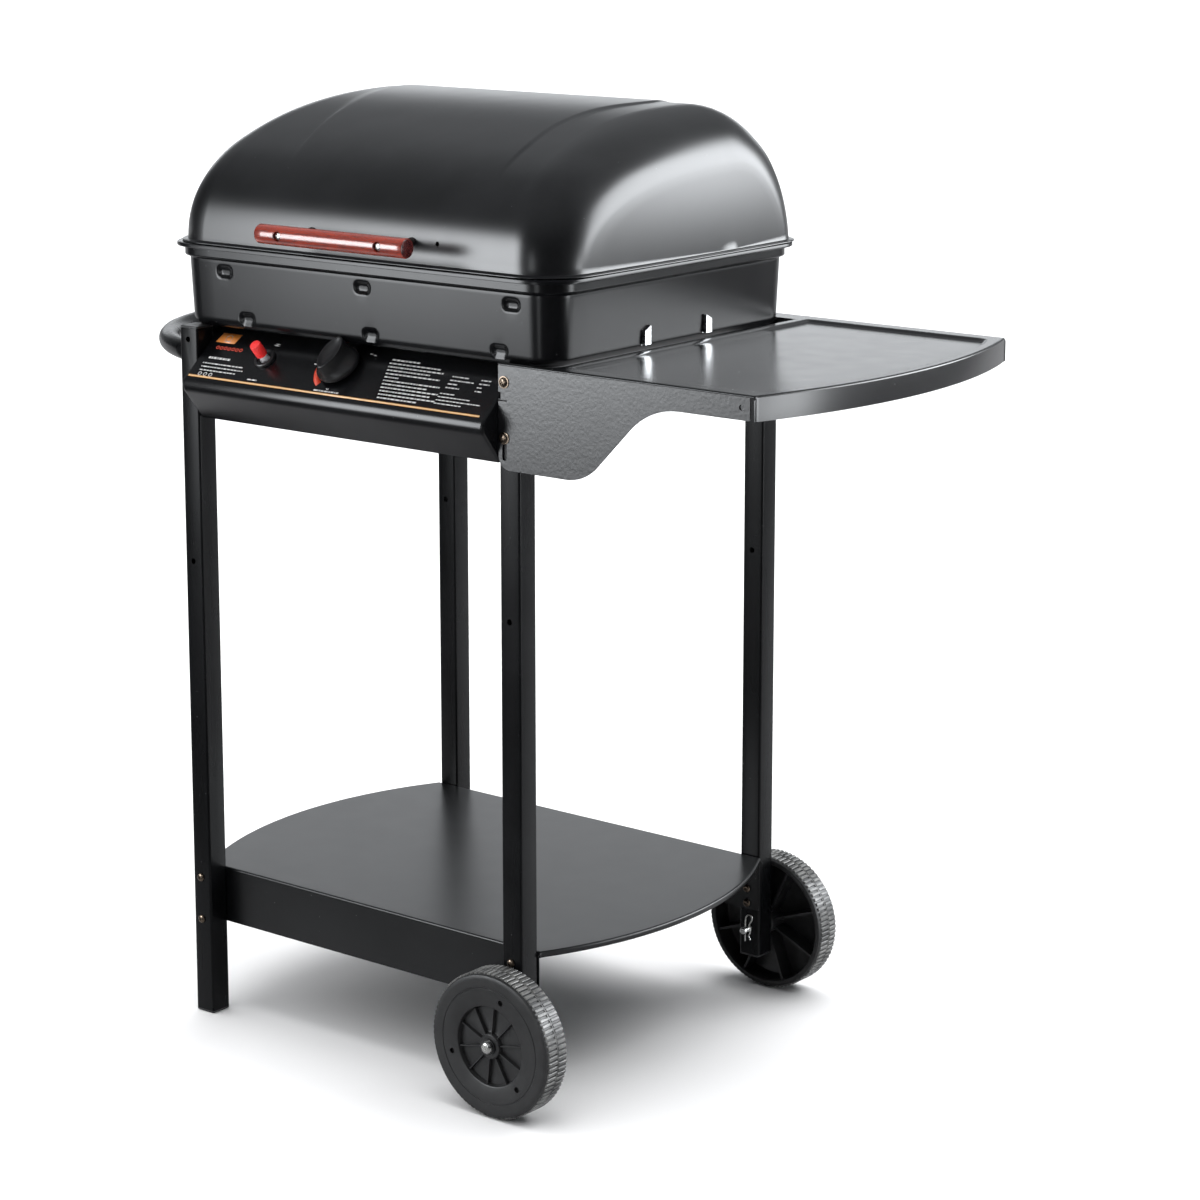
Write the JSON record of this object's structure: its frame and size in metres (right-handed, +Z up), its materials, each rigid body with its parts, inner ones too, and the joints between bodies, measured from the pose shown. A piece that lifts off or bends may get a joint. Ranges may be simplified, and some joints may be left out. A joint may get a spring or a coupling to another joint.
{
  "type": "gas barbecue grill",
  "caption": "Gas barbecue on a wheeled cart: hinged barrel lid over a firebox with grid and burner, sloping control panel, bowed side shelf, push handle and bottom tray.",
  "frame": {"origin": "on the floor, at the middle of the whole grill's footprint", "axes": "+Z up; the control panel and lid handle face -Y; the push handle is at -X, the side shelf and wheels at +X"},
  "size_m": [0.9251, 0.523, 0.982],
  "materials": {
    "black_paint": "semi-gloss black powder coat",
    "black_enamel": "gloss black enamel on pressed steel",
    "black_plastic": "satin moulded black plastic",
    "red_plastic": "bright red moulded plastic",
    "red_wood": "red-brown lacquered turned wood",
    "zinc": "zinc-plated steel",
    "dark_screw": "dark bronze-plated screw",
    "chrome_wire": "chrome-plated wire",
    "brass": "machined brass",
    "burner_iron": "dull heat-darkened metal",
    "lava_rock": "rough porous volcanic rock",
    "ceramic": "glazed insulator"
  },
  "bodies": {
    "cart": {"axle_bolt_back": "zinc", "axle_bolt_front": "zinc", "axle_clip_back": "zinc", "axle_clip_front": "zinc", "axle_washer_back": "zinc", "axle_washer_front": "zinc", "bottom_tray": "black_paint", "burner": "burner_iron", "control_panel": "black_paint", "firebox": "black_enamel", "gas_inlet_fitting": "brass", "gas_valve": "brass", "grate_support_left": "zinc", "grate_support_right": "zinc", "hinge_box_leaf_left": "black_paint", "hinge_box_leaf_right": "black_paint", "hinge_pin_left": "zinc", "hinge_pin_right": "zinc", "igniter_body": "black_plastic", "igniter_ring_nut": "black_plastic", "lava_rocks": "lava_rock", "leg_back_left": "black_paint", "leg_back_right": "black_paint", "leg_foot_cap_back_left": "black_plastic", "leg_foot_cap_back_right": "black_plastic", "leg_foot_cap_front_left": "black_plastic", "leg_foot_cap_front_right": "black_plastic", "leg_front_left": "black_paint", "leg_front_right": "black_paint", "leg_top_cap_back_left": "black_plastic", "leg_top_cap_back_right": "black_plastic", "leg_top_cap_front_left": "black_plastic", "leg_top_cap_front_right": "black_plastic", "push_handle": "black_paint", "rock_grate": "zinc", "shelf_screw_back_lower": "dark_screw", "shelf_screw_back_upper": "dark_screw", "shelf_screw_front_lower": "dark_screw", "shelf_screw_front_upper": "dark_screw", "side_rail_left": "black_paint", "side_rail_right": "black_paint", "side_shelf": "black_paint", "spark_electrode": "ceramic", "venturi_tube": "zinc"},
    "lid": {"lid": "black_enamel", "lid_handle": "red_wood", "handle_standoff_left": "zinc", "handle_standoff_right": "zinc", "handle_screw_left": "zinc", "handle_screw_right": "zinc", "hinge_lid_leaf_left": "black_paint", "hinge_lid_leaf_right": "black_paint"},
    "valve_stem": {"valve_stem": "zinc"},
    "knob": {"control_knob": "black_plastic"},
    "igniter_button": {"igniter_button": "red_plastic"},
    "wheel_front": {"wheel_front": "black_plastic"},
    "wheel_back": {"wheel_back": "black_plastic"},
    "cooking_grid": {"cooking_grid": "chrome_wire"}
  },
  "joints": [
    {"name": "lid_hinge", "type": "hinge", "parent": "cart", "child": "lid", "pos_m": [-0.06475, 0.2098, 0.8385], "axis": [-1, 0, 0], "range_deg": [0, 100]},
    {"name": "valve_push", "type": "slide", "parent": "cart", "child": "valve_stem", "axis": [0, 0.657, -0.7539], "range_m": [0, 0.003], "stiffness_N_per_m": 400},
    {"name": "knob_turn", "type": "hinge", "parent": "valve_stem", "child": "knob", "pos_m": [-0.08875, -0.2042, 0.72353], "axis": [0, -0.657, 0.7539], "range_deg": [0, 180]},
    {"name": "igniter_push", "type": "slide", "parent": "cart", "child": "igniter_button", "axis": [0, 0.657, -0.7539], "range_m": [0, 0.008], "stiffness_N_per_m": 600},
    {"name": "wheel_front_spin", "type": "hinge", "parent": "cart", "child": "wheel_front", "pos_m": [0.13575, -0.2317, 0.075], "axis": [0, 1, 0], "continuous": true},
    {"name": "wheel_back_spin", "type": "hinge", "parent": "cart", "child": "wheel_back", "pos_m": [0.13575, 0.2383, 0.075], "axis": [0, 1, 0], "continuous": true},
    {"name": "cooking_grid_lift", "type": "slide", "parent": "cart", "child": "cooking_grid", "axis": [0, 0, 1], "range_m": [0, 0.015]}
  ]
}
